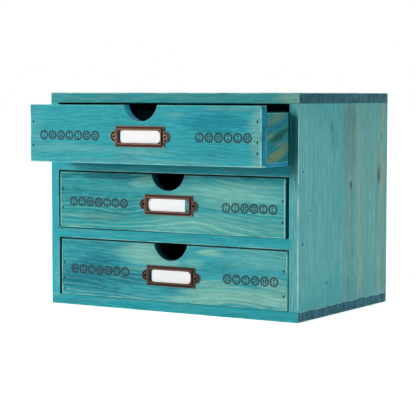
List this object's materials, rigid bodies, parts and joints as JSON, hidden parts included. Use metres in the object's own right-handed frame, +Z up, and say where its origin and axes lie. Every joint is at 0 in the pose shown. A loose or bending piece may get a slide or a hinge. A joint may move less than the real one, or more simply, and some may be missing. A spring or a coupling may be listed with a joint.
{
  "type": "button storage drawers",
  "caption": "Small stained wooden cabinet of shallow drawers for buttons, each with a finger notch and a metal label holder with a blank card.",
  "frame": {"origin": "middle of the underside of the case", "axes": "+Z up, -Y out of the drawer fronts, +X to the right seen from the front"},
  "size_m": [0.253, 0.2163, 0.19],
  "materials": {
    "case_wood": "worn turquoise stain on softwood",
    "front_wood": "worn turquoise stain on softwood",
    "box_wood": "patchy stain on softwood",
    "stained_ply": "stained thin plywood",
    "steel_wire": "dull steel",
    "antique_copper": "antique copper plate, rubbed on its edges",
    "white_card": "matt white card"
  },
  "bodies": {
    "case": {"case_top": "case_wood", "case_bottom": "case_wood", "case_left_side": "case_wood", "case_right_side": "case_wood", "upper_shelf": "case_wood", "lower_shelf": "case_wood", "back_panel": "stained_ply", "top_board_brads": "steel_wire", "bottom_board_brads": "steel_wire", "left_side_brads": "steel_wire", "right_side_brads": "steel_wire", "back_panel_pins": "steel_wire"},
    "bottom_drawer": {"bottom_drawer_front": "front_wood", "bottom_drawer_left_side": "box_wood", "bottom_drawer_right_side": "box_wood", "bottom_drawer_back": "box_wood", "bottom_drawer_bottom": "stained_ply", "bottom_label_holder": "antique_copper", "bottom_label_card": "white_card", "bottom_drawer_front_brads": "steel_wire", "bottom_drawer_side_brads": "steel_wire", "bottom_drawer_bottom_pins": "steel_wire", "bottom_holder_pins": "antique_copper"},
    "middle_drawer": {"middle_drawer_front": "front_wood", "middle_drawer_left_side": "box_wood", "middle_drawer_right_side": "box_wood", "middle_drawer_back": "box_wood", "middle_drawer_bottom": "stained_ply", "middle_label_holder": "antique_copper", "middle_label_card": "white_card", "middle_drawer_front_brads": "steel_wire", "middle_drawer_side_brads": "steel_wire", "middle_drawer_bottom_pins": "steel_wire", "middle_holder_pins": "antique_copper"},
    "top_drawer": {"top_drawer_front": "front_wood", "top_drawer_left_side": "box_wood", "top_drawer_right_side": "box_wood", "top_drawer_back": "box_wood", "top_drawer_bottom": "stained_ply", "top_label_holder": "antique_copper", "top_label_card": "white_card", "top_drawer_front_brads": "steel_wire", "top_drawer_side_brads": "steel_wire", "top_drawer_bottom_pins": "steel_wire", "top_holder_pins": "antique_copper"}
  },
  "joints": [
    {"name": "bottom_drawer_slide", "type": "slide", "parent": "case", "child": "bottom_drawer", "axis": [0, -1, 0], "range_m": [0, 0.14]},
    {"name": "middle_drawer_slide", "type": "slide", "parent": "case", "child": "middle_drawer", "axis": [0, -1, 0], "range_m": [0, 0.14]},
    {"name": "top_drawer_slide", "type": "slide", "parent": "case", "child": "top_drawer", "axis": [0, -1, 0], "range_m": [-0.045, 0.095]}
  ]
}
